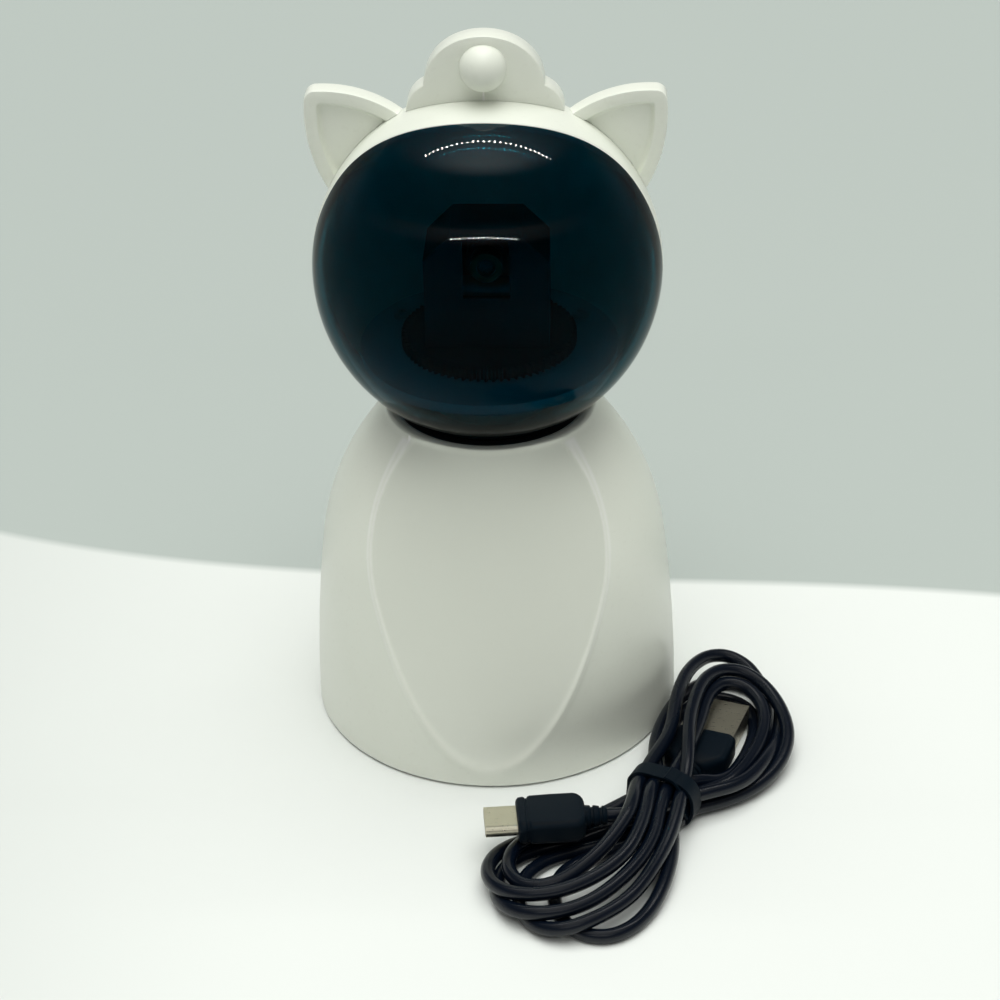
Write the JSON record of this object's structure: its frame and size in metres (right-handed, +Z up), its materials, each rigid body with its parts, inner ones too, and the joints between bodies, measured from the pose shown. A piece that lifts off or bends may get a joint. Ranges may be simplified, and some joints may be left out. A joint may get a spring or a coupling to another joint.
{
  "type": "automatic cat laser toy",
  "caption": "Self-moving pet laser: hollow white base with a flat bib, tilting ball head with smoked dome, ears and crown, a motor turret with a laser inside, and a bundled charging cable.",
  "frame": {"origin": "on the table, under the centre of the base", "axes": "+Z up, the dome and the bib face -Y, +X is to the right seen from the front"},
  "size_m": [0.1042, 0.1338, 0.154],
  "materials": {
    "white_abs": "satin",
    "smoked_dome": "glossy, smoked, see-through",
    "black_plastic": "satin",
    "grey_plastic": "matte",
    "pom": "satin, slippery",
    "rubber": "matte",
    "steel": "satin",
    "nickel": "polished",
    "brass": "satin",
    "circuit_green": "satin",
    "lamp_clear": "clear",
    "cell_wrap": "shrink wrap",
    "cable_black": "satin"
  },
  "bodies": {
    "base": {"base_shell": "white_abs", "base_plate": "white_abs", "rubber_feet": "rubber", "base_screws": "steel", "board_screws": "steel", "battery_cradle": "grey_plastic", "battery_cell": "cell_wrap", "main_board": "circuit_green", "board_chips": "black_plastic", "usb_c_socket": "nickel", "tact_switches": "black_plastic", "status_lamp": "lamp_clear", "seat_ring": "black_plastic", "neck_bush": "pom", "cable_hank": "cable_black", "cable_tie": "cable_black", "cable_lead": "cable_black", "cable_tail": "cable_black", "usb_c_overmould": "cable_black", "usb_c_relief": "cable_black", "usb_c_shell": "nickel", "usb_a_overmould": "cable_black", "usb_a_relief": "cable_black", "usb_a_shell": "nickel", "usb_a_insert": "black_plastic"},
    "mode_button": {"mode_button": "white_abs"},
    "power_button": {"power_button": "white_abs"},
    "neck": {"neck_tube": "steel", "clamp_dish": "pom", "neck_nut": "steel", "neck_spring": "steel"},
    "head": {"rear_shell": "white_abs", "front_dome": "smoked_dome", "head_foot": "black_plastic", "left_ear": "white_abs", "right_ear": "white_abs", "crown": "white_abs", "crown_pearl": "white_abs", "head_frame": "grey_plastic", "turret_axle": "steel", "axle_clip": "steel", "frame_screws": "steel", "pan_motor": "steel"},
    "turret": {"turret_gear": "black_plastic", "turret_housing": "black_plastic", "turret_back": "black_plastic", "tilt_motor": "steel"},
    "motor_pinion": {"motor_pinion": "pom"},
    "laser": {"laser_cradle": "black_plastic", "laser_module": "brass", "laser_lens": "lamp_clear"},
    "tilt_pinion": {"tilt_pinion": "pom"}
  },
  "joints": [
    {"name": "mode_press", "type": "slide", "parent": "base", "child": "mode_button", "axis": [0, -1, 0], "range_m": [0, 0.0008], "stiffness_N_per_m": 800, "springref_m": -0.0005},
    {"name": "power_press", "type": "slide", "parent": "base", "child": "power_button", "axis": [0, -1, 0], "range_m": [0, 0.0008], "stiffness_N_per_m": 800, "springref_m": -0.0005},
    {"name": "head_yaw", "type": "hinge", "parent": "base", "child": "neck", "pos_m": [0, 0, 0.0631], "axis": [0, 0, 1], "range_deg": [-80, 80]},
    {"name": "head_tilt", "type": "hinge", "parent": "neck", "child": "head", "pos_m": [0, 0, 0.1048], "axis": [1, 0, 0], "range_deg": [-12, 12]},
    {"name": "turret_pan", "type": "hinge", "parent": "head", "child": "turret", "pos_m": [0, 0, 0.089], "axis": [0, 0, 1], "continuous": true},
    {"name": "pan_drive", "type": "hinge", "parent": "head", "child": "motor_pinion", "pos_m": [0, 0.021, 0.089], "axis": [0, 0, 1], "continuous": true},
    {"name": "laser_tilt", "type": "hinge", "parent": "turret", "child": "laser", "pos_m": [0, 0, 0.1074], "axis": [1, 0, 0], "range_deg": [-25, 25]},
    {"name": "tilt_drive", "type": "hinge", "parent": "turret", "child": "tilt_pinion", "pos_m": [0.008, 0, 0.0989], "axis": [1, 0, 0], "range_deg": [-62, 62]}
  ],
  "couplings": [
    {"joint": "pan_drive", "follows": "turret_pan", "ratio": -6},
    {"joint": "tilt_drive", "follows": "laser_tilt", "ratio": -2.4}
  ]
}
